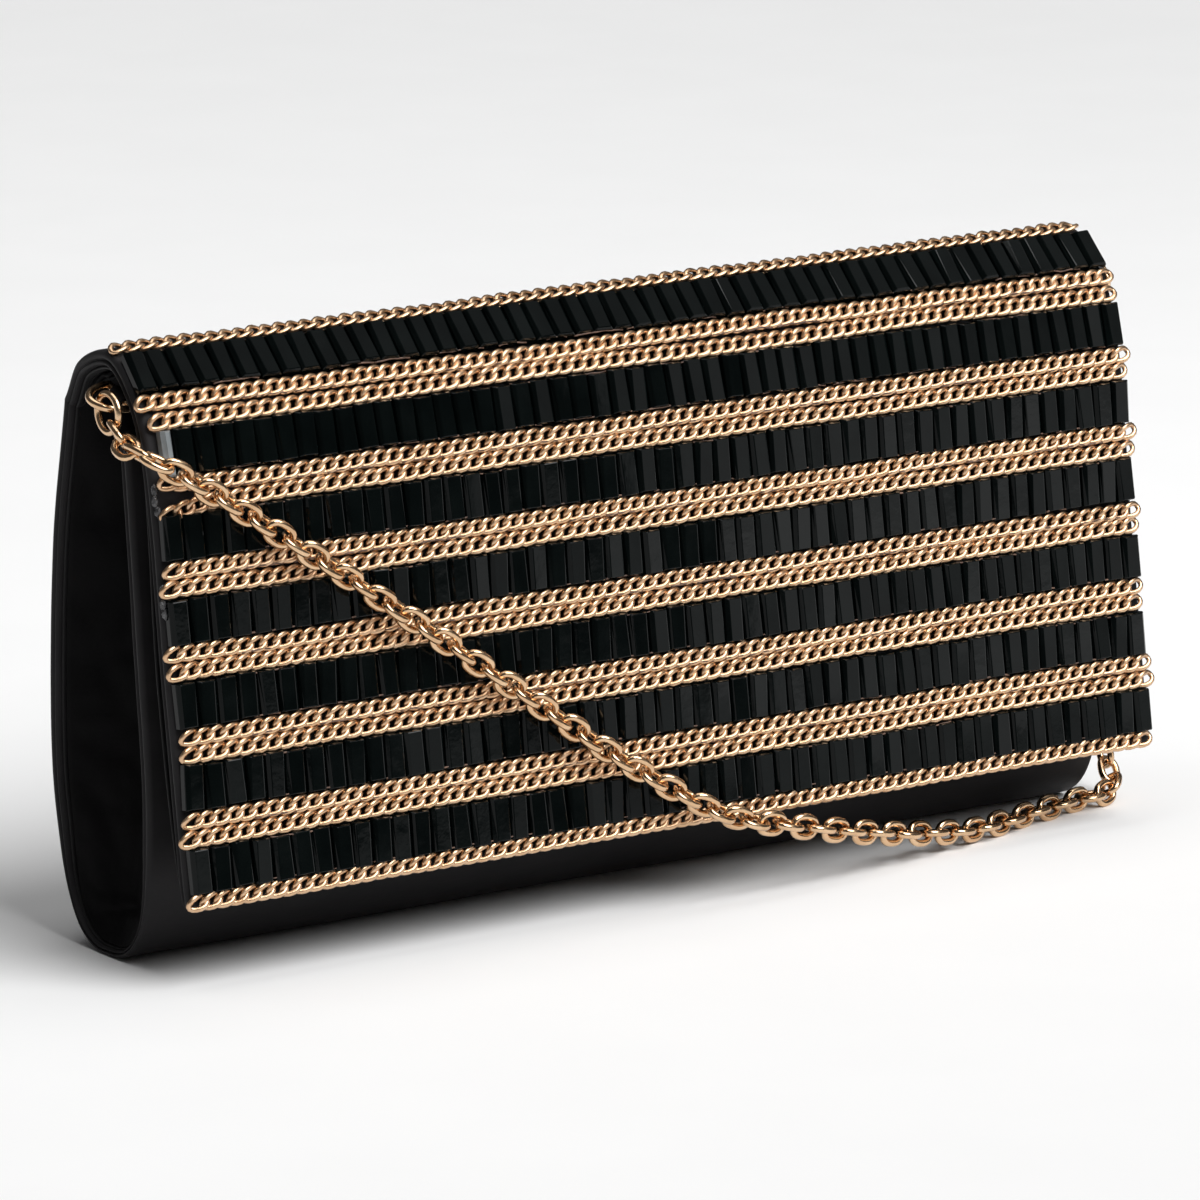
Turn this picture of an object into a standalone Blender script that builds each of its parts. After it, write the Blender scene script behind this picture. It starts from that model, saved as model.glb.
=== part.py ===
"""Evening clutch purse: a boarded satin case with a wrap-over flap, stone rows, curb chains and a chain strap.

World frame: X runs along the width, the flap faces -Y, Z is up, and the purse stands on Z = 0.
The outlines below are (depth, height) pairs in millimetres, seen from the side.
"""

import math

import bmesh
import bpy
from mathutils import Vector

MM = 0.001

# Widths of the main pieces
CASE_WIDTH = 248.0
FLAP_WIDTH = 250.0
TRIM_WIDTH = 249.0

# Thickness of each layer, from the outside in, and the gap that layers keep
COVER = 0.9
BOARD = 2.0
LINING = 0.6
GAP = 0.3
BOARD_DEPTH = COVER + GAP
LINING_DEPTH = BOARD_DEPTH + BOARD + GAP
WALL = LINING_DEPTH + LINING

# Outer face of the one long wrap: up to the back top edge it is the case, after it the flap
CASE_OUTLINE = [
    (-2.8, 112.5),
    (-6.6, 72.0),
    (-9.9, 36.0),
    (-9.5, 18.0),
    (-8.8, 7.5),
    (-7.2, 0.0),
    (13.6, 0.0),
    (19.2, 4.2),
    (23.4, 13.0),
    (27.4, 30.0),
    (28.2, 46.0),
    (26.6, 82.0),
    (22.0, 115.5),
]
FLAP_OUTLINE = [
    (22.0, 115.5),
    (14.9, 124.6),
    (2.7, 128.2),
    (-6.2, 121.8),
    (-12.0, 110.5),
    (-19.2, 64.0),
    (-26.2, 16.6),
]
HINGE_SLIT = 0.5
HINGE_SLIT_PER_THICKNESS = 0.6
BOARD_INSET = 2.0
HINGE_STAND_OFF = 0.6

# Trim on the flap, measured up from its lower edge
ROW_COUNT = 7
ROW_PITCH = 17.0
FIRST_ROW_HEIGHT = 8.5
STONE_LENGTH = 8.2
STONE_THICKNESS = 2.2
CHAIN_WIDTH = 3.7
CHAIN_THICKNESS = 0.7
CHAIN_PAIR_SPACING = 4.6
EDGE_CHAIN_OFFSET = 6.35

# Folded side gussets
GUSSET_EDGE_X = 121.5
GUSSET_FOLD_DEPTH = 16.0
GUSSET_BOTTOM_FOLD = 5.0
GUSSET_BOTTOM = 5.4
GUSSET_TOP = 111.0
GUSSET_THICKNESS = 0.8
GUSSET_LINING_THICKNESS = 0.5
GUSSET_LINING_INSET = 3.4
GUSSET_CLEARANCE = 1.3
GUSSET_LINING_CLEARANCE = 2.2
GUSSET_LINING_LIFT = 2.0
GUSSET_ROWS = 10
GUSSET_ROW_SPREAD = 1.5
GUSSET_COLUMNS = (0.0, 0.25, 0.5, 0.75, 1.0)
GUSSET_OPENING_RATE = 2.2
GUSSET_FOLD_SHARPNESS = 1.4

# Magnetic snap under the flap
SNAP_HEIGHT = 72.0
SNAP_RADIUS = 9.0
SNAP_SOCKET_THICKNESS = 3.4
SNAP_STUD_THICKNESS = 2.6
SNAP_STUD_RAISE = 0.8
SNAP_EDGE = 0.5
WASHER_RADIUS = 9.0
WASHER_BORE = 2.5
WASHER_THICKNESS = 1.0
WASHER_POCKET_RADIUS = 9.6
ROUND_SEGMENTS = 24

# Strap hardware
BAR_CENTRE = (122.6, 1.8, 118.8)
BAR_SLOPE = math.radians(25.0)
D_RING_HALF_WIDTH = 3.6
D_RING_REACH = 6.9
D_RING_WIRE = 1.7
JUMP_RING_RADIUS = 4.0
JUMP_RING_WIRE = 1.6
JUMP_RING_CENTRE = (127.4, -1.5, 116.5)
TAB_WIDTH = 4.6
TAB_LENGTH = 8.5
TAB_SATIN = 0.7
STRAP_AXIS = (0.0, -1.1, 117.4)

# Names of the pieces that turn with the flap start with these words
FLAP_PIECES = ("flap_", "stone_row_", "curb_chain_", "snap_stud", "ring_tab_", "d_ring_")

# Chain strap: points its centre line passes through, from the left jump ring to the right one
STRAP_DIAMETER = 5.0
STRAP_STEP = 5.3
STRAP_ROUTE = [
    (-128.0, -7.2, 111.4),
    (-128.4, -12.2, 110.6),
    (-126.8, -17.8, 109.2),
    (-121.0, -19.2, 105.8),
    (-100.9, -20.9, 92.6),
    (-73.7, -23.8, 73.6),
    (-43.6, -27.1, 51.8),
    (-15.2, -30.1, 31.6),
    (6.0, -32.3, 19.4),
    (24.0, -32.0, 14.4),
    (42.0, -29.8, 10.0),
    (60.0, -26.0, 6.2),
    (80.0, -21.2, 3.2),
    (102.0, -14.8, 2.7),
    (117.0, -11.4, 2.7),
    (126.0, -10.0, 2.9),
    (130.6, -4.6, 5.6),
    (131.6, 0.4, 15.0),
    (131.0, 2.4, 40.0),
    (130.2, 1.8, 70.0),
    (129.2, 0.2, 95.0),
    (127.8, -1.4, 111.0),
]


def clear_scene():
    for item in list(bpy.data.objects):
        bpy.data.objects.remove(item, do_unlink=True)


def collection(name):
    group = bpy.data.collections.new(name)
    bpy.context.scene.collection.children.link(group)
    return group


def material(name, colour, roughness, metallic=0.0):
    finish = bpy.data.materials.new(name)
    finish.use_nodes = True
    shader = finish.node_tree.nodes["Principled BSDF"]
    shader.inputs["Base Color"].default_value = (*colour, 1.0)
    shader.inputs["Roughness"].default_value = roughness
    shader.inputs["Metallic"].default_value = metallic
    return finish


def mix(low_point, high_point, low, high, t):
    share = (t - low) / (high - low)
    return low_point * (1.0 - share) + high_point * share


def smooth_route(points, per_span=12):
    """Points on a centripetal Catmull-Rom curve that passes through every given point."""
    given = [Vector(point) for point in points]
    ends = [given[0] * 2 - given[1]] + given + [given[-1] * 2 - given[-2]]
    route = []
    for before, start, end, after in zip(ends, ends[1:], ends[2:], ends[3:]):
        t1 = math.sqrt((start - before).length)
        t2 = t1 + math.sqrt((end - start).length)
        t3 = t2 + math.sqrt((after - end).length)
        for step in range(per_span):
            t = t1 + (t2 - t1) * step / per_span
            a = mix(before, start, 0.0, t1, t)
            b = mix(start, end, t1, t2, t)
            c = mix(end, after, t2, t3, t)
            route.append(mix(mix(a, b, 0.0, t2, t), mix(b, c, t1, t3, t), t1, t2, t))
    route.append(given[-1])
    return route


def stations(points):
    """Arc length from the first point to each point."""
    reached = [0.0]
    for a, b in zip(points, points[1:]):
        reached.append(reached[-1] + (b - a).length)
    return reached


def point_at(points, distance):
    reached = stations(points)
    for i in range(1, len(points)):
        if distance <= reached[i] or i == len(points) - 1:
            return mix(points[i - 1], points[i], reached[i - 1], reached[i], distance)


def portion(points, start, end):
    """The part of a route between two distances along it."""
    reached = stations(points)
    inner = [p for p, s in zip(points, reached) if start + 0.2 < s < end - 0.2]
    return [point_at(points, start)] + inner + [point_at(points, end)]


def evenly(points, step):
    count = max(1, round(stations(points)[-1] / step))
    length = stations(points)[-1]
    return [point_at(points, length * i / count) for i in range(count + 1)]


def thinned(points, turn=math.radians(8.0), shortest=3.0, longest=22.0):
    """Drop points where the route is nearly straight, or where they lie too close together."""
    kept = [points[0]]
    for i in range(1, len(points) - 1):
        before = points[i] - kept[-1]
        after = points[i + 1] - points[i]
        if before.angle(after) > turn or before.length > longest:
            kept.append(points[i])
    kept.append(points[-1])
    spaced = [kept[0]]
    for here, following in zip(kept[1:], kept[2:]):
        on_the_ground = here.y == 0.0
        if on_the_ground or (following - here).length > shortest:
            spaced.append(here)
    return spaced + [kept[-1]]


def offset(points, distance):
    """The route moved sideways, to the inner side of the wrap when distance is positive."""
    moved = []
    for i, point in enumerate(points):
        before = (points[i] - points[max(i - 1, 0)]).normalized()
        after = (points[min(i + 1, len(points) - 1)] - points[i]).normalized()
        along = (before + after).normalized()
        half_turn = along.angle(after if after.length else before)
        inward = Vector((-along.y, along.x))
        moved.append(point + inward * distance / math.cos(half_turn))
    return moved


def add_object(name, mesh, finish, group):
    piece = bpy.data.objects.new(name, mesh)
    group.objects.link(piece)
    piece.data.materials.append(finish)
    return piece


def strip(name, outline, width, thickness, finish, group):
    """A sheet that follows a side outline across the width, thickened to the inner side of the wrap."""
    shape = bmesh.new()
    start = [shape.verts.new((-width / 2 * MM, p.x * MM, p.y * MM)) for p in outline]
    edges = [shape.edges.new(pair) for pair in zip(start, start[1:])]
    grown = bmesh.ops.extrude_edge_only(shape, edges=edges)["geom"]
    far_side = [item for item in grown if isinstance(item, bmesh.types.BMVert)]
    bmesh.ops.translate(shape, verts=far_side, vec=(width * MM, 0.0, 0.0))
    mesh = bpy.data.meshes.new(name)
    shape.to_mesh(mesh)
    shape.free()
    piece = add_object(name, mesh, finish, group)
    thicken(piece, thickness, 1.0)
    return piece


def thicken(piece, thickness, side):
    shell = piece.modifiers.new("thickness", "SOLIDIFY")
    shell.thickness = thickness * MM
    shell.offset = side
    shell.use_even_offset = True


def tube(name, points, wire, finish, group, closed=False):
    curve = bpy.data.curves.new(name, "CURVE")
    curve.dimensions = "3D"
    curve.bevel_depth = wire / 2 * MM
    curve.bevel_resolution = 2
    curve.use_fill_caps = True
    spline = curve.splines.new("POLY")
    spline.points.add(len(points) - 1)
    for control, point in zip(spline.points, points):
        control.co = (*(Vector(point) * MM), 1.0)
    spline.use_cyclic_u = closed
    return add_object(name, curve, finish, group)


def disc(name, radius, thickness, centre, normal, finish, group, bevel=0.0):
    shape = bmesh.new()
    bmesh.ops.create_cone(
        shape, cap_ends=True, segments=ROUND_SEGMENTS, radius1=radius * MM, radius2=radius * MM, depth=thickness * MM
    )
    mesh = bpy.data.meshes.new(name)
    shape.to_mesh(mesh)
    shape.free()
    piece = add_object(name, mesh, finish, group)
    piece.location = Vector(centre) * MM
    piece.rotation_mode = "QUATERNION"
    piece.rotation_quaternion = Vector(normal).to_track_quat("Z", "Y")
    if bevel:
        edge = piece.modifiers.new("edge", "BEVEL")
        edge.width = bevel * MM
        edge.segments = 2
    return piece


def cut(piece, cutter, cutters):
    for group in list(cutter.users_collection):
        group.objects.unlink(cutter)
    cutters.objects.link(cutter)
    cutter.hide_render = True
    cutter.display_type = "WIRE"
    hole = piece.modifiers.new(cutter.name, "BOOLEAN")
    hole.object = cutter
    hole.operation = "DIFFERENCE"


def height_crossings(points, height):
    """Depths where an outline passes a height, nearest the front first."""
    depths = []
    for a, b in zip(points, points[1:]):
        if (a.y - height) * (b.y - height) <= 0.0 and a.y != b.y:
            depths.append(mix(a, b, a.y, b.y, height).x)
    return min(depths), max(depths)


def gusset(name, side, inset, thickness, growth, bottom, clearance, case_inside, finish, group):
    """A side panel between the front and back walls, folded inwards along its middle."""
    shape = bmesh.new()
    rows = []
    for row in range(GUSSET_ROWS + 1):
        share = row / GUSSET_ROWS
        height = bottom + (GUSSET_TOP - bottom) * share ** GUSSET_ROW_SPREAD
        front, back = height_crossings(case_inside, height)
        opened = min(1.0, share * GUSSET_OPENING_RATE)
        fold = GUSSET_BOTTOM_FOLD + (GUSSET_FOLD_DEPTH - GUSSET_BOTTOM_FOLD) * math.sin(opened * math.pi / 2)
        places = []
        for across in GUSSET_COLUMNS:
            depth = front + clearance + (back - front - 2 * clearance) * across
            folded = 1.0 - abs(2 * across - 1.0) ** GUSSET_FOLD_SHARPNESS
            reach = GUSSET_EDGE_X - inset - fold * folded
            places.append(shape.verts.new((side * reach * MM, depth * MM, height * MM)))
        rows.append(places)
    for low, high in zip(rows, rows[1:]):
        for a, b, c, d in zip(low, low[1:], high[1:], high):
            shape.faces.new((a, b, c, d) if side > 0 else (d, c, b, a))
    mesh = bpy.data.meshes.new(name)
    shape.to_mesh(mesh)
    shape.free()
    piece = add_object(name, mesh, finish, group)
    thicken(piece, thickness, growth)


def jump_ring_points(side, count=ROUND_SEGMENTS):
    """A round ring that stands in the depth-height plane."""
    centre = Vector((side * JUMP_RING_CENTRE[0], JUMP_RING_CENTRE[1], JUMP_RING_CENTRE[2]))
    points = []
    for i in range(count):
        angle = 2 * math.pi * i / count
        points.append(centre + Vector((0.0, math.cos(angle), math.sin(angle))) * JUMP_RING_RADIUS)
    return points


def bar_direction():
    return Vector((0.0, -math.cos(BAR_SLOPE), -math.sin(BAR_SLOPE)))


def d_ring_points(side, count=14):
    """A straight bar inside the tab, and an arch that reaches out past the side of the purse."""
    centre = Vector((side * BAR_CENTRE[0], BAR_CENTRE[1], BAR_CENTRE[2]))
    along = bar_direction()
    outward = Vector((side, 0.0, 0.0))
    points = [centre]
    for i in range(count + 1):
        angle = math.pi * i / count
        width = math.cos(angle) * (D_RING_HALF_WIDTH + D_RING_WIRE / 2)
        reach = math.sin(angle) * D_RING_REACH
        points.append(centre + along * width + outward * reach)
    return points


def ring_tab(name, side, finish, group):
    """A folded satin loop round the bar of the D ring, with its tails towards the middle of the purse."""
    centre = Vector((side * BAR_CENTRE[0], BAR_CENTRE[1], BAR_CENTRE[2]))
    along = bar_direction()
    inward = Vector((-side, 0.0, 0.0))
    upward = inward.cross(along) * side
    wrap_radius = D_RING_WIRE / 2 + GAP
    tail_height = GAP
    section = [inward * TAB_LENGTH + upward * tail_height]
    for i in range(9):
        angle = math.radians(60.0 + 30.0 * i)
        section.append((inward * math.cos(angle) + upward * math.sin(angle)) * wrap_radius)
    section.append(inward * TAB_LENGTH - upward * tail_height)
    shape = bmesh.new()
    near = [shape.verts.new((centre + place - along * TAB_WIDTH / 2) * MM) for place in section]
    far = [shape.verts.new((centre + place + along * TAB_WIDTH / 2) * MM) for place in section]
    for a, b, c, d in zip(near, near[1:], far[1:], far):
        shape.faces.new((a, b, c, d))
    mesh = bpy.data.meshes.new(name)
    shape.to_mesh(mesh)
    shape.free()
    piece = add_object(name, mesh, finish, group)
    thicken(piece, TAB_SATIN, -side)


def wrap_layers(wrap, hinge_index, finishes, group):
    """Satin cover, board and lining, one inside the other, each parted where the flap folds."""
    boards = {}
    layers = (
        ("cover", 0.0, COVER, finishes["satin"]),
        ("board", BOARD_DEPTH, BOARD, finishes["board"]),
        ("lining", LINING_DEPTH, LINING, finishes["lining"]),
    )
    for layer, depth, thickness, finish in layers:
        line = offset(wrap, depth)
        fold = stations(line)[hinge_index]
        slit = (HINGE_SLIT + thickness * HINGE_SLIT_PER_THICKNESS) / 2
        inset = BOARD_INSET if layer == "board" else 0.0
        case_line = portion(line, 0.0, fold - slit)
        strip(f"case_{layer}", case_line, CASE_WIDTH - inset, thickness, finish, group)
        flap_line = portion(line, fold + slit, stations(line)[-1])
        strip(f"flap_{layer}", flap_line, FLAP_WIDTH - inset, thickness, finish, group)
        if layer == "board":
            boards = {"case": group.objects["case_board"], "flap": group.objects["flap_board"]}
    return boards


def trim(flap_outline, finishes, group):
    """Stone rows and curb chains, placed by their height above the flap's lower edge."""
    length = stations(flap_outline)[-1]

    def band(name, height, size, thickness, finish):
        place = length - height
        line = portion(flap_outline, place - size / 2, place + size / 2)
        strip(name, offset(line, -GAP - thickness), TRIM_WIDTH, thickness, finish, group)

    for row in range(ROW_COUNT):
        height = FIRST_ROW_HEIGHT + ROW_PITCH * (ROW_COUNT - 1 - row)
        band(f"stone_row_{row + 1}", height, STONE_LENGTH, STONE_THICKNESS, finishes["stone"])
    top_row = FIRST_ROW_HEIGHT + ROW_PITCH * (ROW_COUNT - 1)
    band("curb_chain_01", top_row + EDGE_CHAIN_OFFSET, CHAIN_WIDTH, CHAIN_THICKNESS, finishes["chain"])
    number = 2
    for pair in range(ROW_COUNT - 1):
        middle = top_row - ROW_PITCH * (pair + 0.5)
        for part in (0.5, -0.5):
            height = middle + CHAIN_PAIR_SPACING * part
            band(f"curb_chain_{number:02d}", height, CHAIN_WIDTH, CHAIN_THICKNESS, finishes["chain"])
            number += 1
    edge = FIRST_ROW_HEIGHT - EDGE_CHAIN_OFFSET
    band(f"curb_chain_{number:02d}", edge, CHAIN_WIDTH, CHAIN_THICKNESS, finishes["chain"])


def wall_frame(outline, height, front):
    """A point on an outline at a height, and the direction out of the wall towards the front there."""
    for a, b in zip(outline, outline[1:]):
        if (a.y - height) * (b.y - height) <= 0.0 and a.y != b.y and (min(a.x, b.x) < front):
            place = mix(a, b, a.y, b.y, height)
            along = (b - a).normalized()
            outward = Vector((0.0, along.y, -along.x))
            if outward.y > 0.0:
                outward = -outward
            return Vector((0.0, place.x, place.y)), outward


def snap(case_outline, flap_outline, boards, finishes, group, cutters):
    """The magnetic snap: a socket on the front wall, a stud on the flap, and a washer behind each."""
    front, forward = wall_frame(case_outline, SNAP_HEIGHT, 10.0)
    flap_face, flap_forward = wall_frame(flap_outline, SNAP_HEIGHT + SNAP_STUD_RAISE, 10.0)
    socket_place = front + forward * (GAP + SNAP_SOCKET_THICKNESS / 2)
    disc("snap_socket", SNAP_RADIUS, SNAP_SOCKET_THICKNESS, socket_place, forward, finishes["snap"], group, SNAP_EDGE)
    stud_place = flap_face - flap_forward * (WALL + GAP + SNAP_STUD_THICKNESS / 2)
    disc("snap_stud", SNAP_RADIUS, SNAP_STUD_THICKNESS, stud_place, flap_forward, finishes["snap"], group, SNAP_EDGE)
    depth = BOARD_DEPTH + BOARD / 2
    for owner, place, facing in (("case", front, forward), ("flap", flap_face, flap_forward)):
        middle = place - facing * depth
        pocket = disc(
            f"{owner}_washer_pocket", WASHER_POCKET_RADIUS, BOARD * 3, middle, facing, finishes["board"], group
        )
        cut(boards[owner], pocket, cutters)
        washer = disc(f"{owner}_snap_washer", WASHER_RADIUS, WASHER_THICKNESS, middle, facing, finishes["snap"], group)
        bore = disc(f"{owner}_washer_bore", WASHER_BORE, BOARD * 3, middle, facing, finishes["snap"], group)
        cut(washer, bore, cutters)


def pivot(name, place, group):
    """An empty on a joint's axis, which runs along X."""
    axis = bpy.data.objects.new(name, None)
    axis.location = Vector(place) * MM
    axis.empty_display_size = SNAP_RADIUS * MM
    group.objects.link(axis)
    print(name, "at", place)
    return axis


def hang_from(axis, pieces):
    """Parent pieces to an empty and leave them where they are."""
    bpy.context.view_layer.update()
    for piece in pieces:
        piece.parent = axis
        piece.matrix_parent_inverse = axis.matrix_world.inverted()


def main():
    clear_scene()
    purse = collection("clutch_purse")
    cutters = collection("cutters")
    finishes = {
        "satin": material("black_satin", (0.012, 0.012, 0.013), 0.42),
        "board": material("grey_board", (0.32, 0.30, 0.27), 0.85),
        "lining": material("black_lining", (0.016, 0.015, 0.017), 0.55),
        "stone": material("black_stone", (0.010, 0.014, 0.013), 0.12),
        "chain": material("rose_gold_chain", (0.86, 0.60, 0.38), 0.24, 1.0),
        "snap": material("gold_snap", (0.80, 0.62, 0.36), 0.30, 1.0),
    }

    case_outline = thinned([Vector((p.x, max(p.y, 0.0))) for p in smooth_route(CASE_OUTLINE)])
    flap_outline = thinned(smooth_route(FLAP_OUTLINE))
    boards = wrap_layers(case_outline + flap_outline[1:], len(case_outline) - 1, finishes, purse)
    trim(flap_outline, finishes, purse)
    snap(case_outline, flap_outline, boards, finishes, purse, cutters)

    case_inside = offset(case_outline, WALL)
    for label, side in (("left", -1), ("right", 1)):
        gusset(
            f"gusset_{label}", side, 0.0, GUSSET_THICKNESS, 1.0, GUSSET_BOTTOM, GUSSET_CLEARANCE,
            case_inside, finishes["satin"], purse
        )
        gusset(
            f"gusset_lining_{label}", side, GUSSET_LINING_INSET, GUSSET_LINING_THICKNESS, -1.0,
            GUSSET_BOTTOM + GUSSET_LINING_LIFT, GUSSET_LINING_CLEARANCE, case_inside, finishes["lining"], purse
        )
        tube(f"d_ring_{label}", d_ring_points(side), D_RING_WIRE, finishes["chain"], purse, closed=True)
        ring_tab(f"ring_tab_{label}", side, finishes["satin"], purse)
        tube(f"jump_ring_{label}", jump_ring_points(side), JUMP_RING_WIRE, finishes["chain"], purse, closed=True)

    strap_route = evenly(smooth_route(STRAP_ROUTE), STRAP_STEP)
    print("strap length", round(stations(strap_route)[-1], 1), "points", len(strap_route))
    tube("strap_chain", strap_route, STRAP_DIAMETER, finishes["chain"], purse)

    hinge = (0.0, FLAP_OUTLINE[0][0] + HINGE_STAND_OFF, FLAP_OUTLINE[0][1])
    flap_pivot = pivot("flap_pivot", hinge, purse)
    strap_pivot = pivot("strap_pivot", STRAP_AXIS, purse)
    strap_names = ("strap_chain", "jump_ring_left", "jump_ring_right")
    everything = [piece for piece in bpy.data.objects if piece.type != "EMPTY"]
    hang_from(strap_pivot, [piece for piece in everything if piece.name in strap_names])
    hang_from(flap_pivot, [piece for piece in everything if piece.name.startswith(FLAP_PIECES)] + [strap_pivot])


main()
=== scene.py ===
# %% [markdown]
# # A satin evening clutch with stone rows, curb chains and a chain strap
#
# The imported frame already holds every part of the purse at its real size. This lesson dresses that frame:
# it rebuilds the satin, the linings, the stones and the chains in fine detail, each one riding on the
# part of the frame it belongs to. Sizes are in millimetres and are turned into metres when a mesh is
# made.

# %% Load the frame
import math
import random

import bmesh
import bpy
import numpy as np
from mathutils import Matrix, Vector, noise


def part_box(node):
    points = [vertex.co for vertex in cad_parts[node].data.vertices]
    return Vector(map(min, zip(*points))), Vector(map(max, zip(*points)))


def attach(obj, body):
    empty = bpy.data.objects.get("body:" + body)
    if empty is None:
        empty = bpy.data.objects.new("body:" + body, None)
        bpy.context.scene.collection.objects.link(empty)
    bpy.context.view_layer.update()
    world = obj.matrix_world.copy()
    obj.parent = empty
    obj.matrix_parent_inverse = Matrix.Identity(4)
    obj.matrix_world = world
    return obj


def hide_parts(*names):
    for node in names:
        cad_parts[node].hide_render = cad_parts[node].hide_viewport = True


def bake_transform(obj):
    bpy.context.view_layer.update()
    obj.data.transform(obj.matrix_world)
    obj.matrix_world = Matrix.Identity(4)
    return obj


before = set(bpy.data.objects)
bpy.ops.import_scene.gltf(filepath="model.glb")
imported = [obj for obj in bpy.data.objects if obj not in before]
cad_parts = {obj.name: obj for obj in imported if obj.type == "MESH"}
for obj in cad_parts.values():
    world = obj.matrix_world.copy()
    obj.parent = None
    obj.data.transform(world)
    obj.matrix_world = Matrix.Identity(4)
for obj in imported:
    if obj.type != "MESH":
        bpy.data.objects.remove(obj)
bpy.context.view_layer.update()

MM = 0.001

# %% [markdown]
# ## The camera
#
# Seen from far away through a long lens, rows that are parallel on the purse stay almost parallel. The
# camera stands at the front left, a little above the purse. A Track To constraint could aim it; its turn
# is worked out once instead, since neither the camera nor its target moves.

# %% Camera
CAMERA_PLACE = Vector((-0.97838, -1.39048, 0.44558))
CAMERA_TARGET = Vector((-0.00587, -0.0016, 0.06192))
FIELD_OF_VIEW = math.radians(8.386)

camera = bpy.data.objects.new("camera", bpy.data.cameras.new("camera"))
bpy.context.scene.collection.objects.link(camera)
camera.location = CAMERA_PLACE
camera.rotation_euler = (CAMERA_TARGET - CAMERA_PLACE).to_track_quat("-Z", "Y").to_euler()
camera.data.angle = FIELD_OF_VIEW
camera.data.clip_start = 0.05
bpy.context.scene.camera = camera
print("camera lens", round(camera.data.lens, 1), "mm")

# %% [markdown]
# ## Lines and wire
#
# Almost everything on the purse follows a line: the strap hangs along one, the satin wraps along one, and
# each link is a closed line with wire round it. Blender's own curve objects with a bevel could do this.
# Plain arrays of points are used instead, because the same few helpers then smooth a line, divide it
# evenly, measure it and put a wire round it, for hundreds of links at once.


# %% Line helpers
def smooth_line(points, per_span=16):
    """Points on a centripetal Catmull-Rom curve through every given point."""
    given = np.array(points, float)
    ends = np.vstack([2 * given[0] - given[1], given, 2 * given[-1] - given[-2]])
    line = []
    for a, b, c, d in zip(ends, ends[1:], ends[2:], ends[3:]):
        t1 = math.sqrt(np.linalg.norm(b - a))
        t2 = t1 + math.sqrt(np.linalg.norm(c - b))
        t3 = t2 + math.sqrt(np.linalg.norm(d - c))
        for t in np.linspace(t1, t2, per_span, endpoint=False):
            ab = a * (t1 - t) / t1 + b * t / t1
            bc = b * (t2 - t) / (t2 - t1) + c * (t - t1) / (t2 - t1)
            cd = c * (t3 - t) / (t3 - t2) + d * (t - t2) / (t3 - t2)
            first = ab * (t2 - t) / t2 + bc * t / t2
            second = bc * (t3 - t) / (t3 - t1) + cd * (t - t1) / (t3 - t1)
            line.append(first * (t2 - t) / (t2 - t1) + second * (t - t1) / (t2 - t1))
    line.append(given[-1])
    return np.array(line)


def reached(line):
    """Distance along a line to each of its points."""
    return np.concatenate([[0.0], np.cumsum(np.linalg.norm(np.diff(line, axis=0), axis=1))])


def places_on(line, distances):
    """The points at given distances along a line."""
    so_far = reached(line)
    return np.stack([np.interp(distances, so_far, line[:, k]) for k in range(line.shape[1])], axis=1)


def unit(vectors):
    """The same directions, each of length one."""
    return vectors / np.maximum(np.linalg.norm(vectors, axis=-1, keepdims=True), 1e-12)


corner_line = smooth_line([(0.0, 0.0), (10.0, 0.0), (10.0, 10.0)])
print("a smooth line round a 10 mm corner is", round(reached(corner_line)[-1], 2), "mm long")


# %% Wire helper
def wire_round(line, radius, sides=8, closed=True, up=(0.0, 0.0, 1.0)):
    """Vertices and faces of a wire of a given radius round a line."""
    line = np.array(line, float)
    count = len(line)
    if closed:
        along = unit(np.roll(line, -1, axis=0) - np.roll(line, 1, axis=0))
    else:
        along = unit(np.gradient(line, axis=0))
    across = unit(np.cross(along, np.array(up, float)))
    upward = np.cross(across, along)
    verts = []
    for angle in np.linspace(0.0, 2 * math.pi, sides, endpoint=False):
        verts.append(line + radius * (math.cos(angle) * across + math.sin(angle) * upward))
    verts = np.stack(verts, axis=1).reshape(-1, 3)
    faces = []
    for i in range(count if closed else count - 1):
        j = (i + 1) % count
        for k in range(sides):
            n = (k + 1) % sides
            faces.append((i * sides + k, i * sides + n, j * sides + n, j * sides + k))
    if not closed:
        faces.append(tuple(range(sides))[::-1])
        faces.append(tuple((count - 1) * sides + k for k in range(sides)))
    return verts, faces


straight_wire = wire_round([(0.0, 0.0, 0.0), (0.0, 5.0, 0.0), (0.0, 10.0, 0.0)], 1.0, closed=False)
print("a wire of two lengths has", len(straight_wire[0]), "points and", len(straight_wire[1]), "faces")

# %% [markdown]
# ## Pieces
#
# Every visible piece is one mesh object. It rides on a body of the frame when one is given, shows in a
# colour slot, and hides the frame's parts that it stands for. One helper does all of this, so that no
# piece is left behind when a joint moves.


# %% Piece helpers
def many(copies):
    """Join (vertices, faces) pairs into one pair."""
    verts, faces, start = [], [], 0
    for some_verts, some_faces in copies:
        verts.append(some_verts)
        faces += [tuple(start + k for k in face) for face in some_faces]
        start += len(some_verts)
    return np.vstack(verts), faces


def piece(name, shape, material, body=None, replaces=(), smooth=True):
    """A mesh object made of a (vertices in mm, faces) pair; it rides on a body if one is named."""
    verts, faces = shape
    mesh = bpy.data.meshes.new(name)
    mesh.from_pydata((np.asarray(verts) * MM).tolist(), [], faces)
    fix = bmesh.new()
    fix.from_mesh(mesh)
    bmesh.ops.recalc_face_normals(fix, faces=fix.faces)
    fix.to_mesh(mesh)
    fix.free()
    mesh.polygons.foreach_set("use_smooth", [smooth] * len(mesh.polygons))
    made = bpy.data.objects.new(name, mesh)
    bpy.context.scene.collection.objects.link(made)
    made.data.materials.append(material)
    if body:
        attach(made, body)
    if replaces:
        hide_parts(*replaces)
    return made


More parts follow.
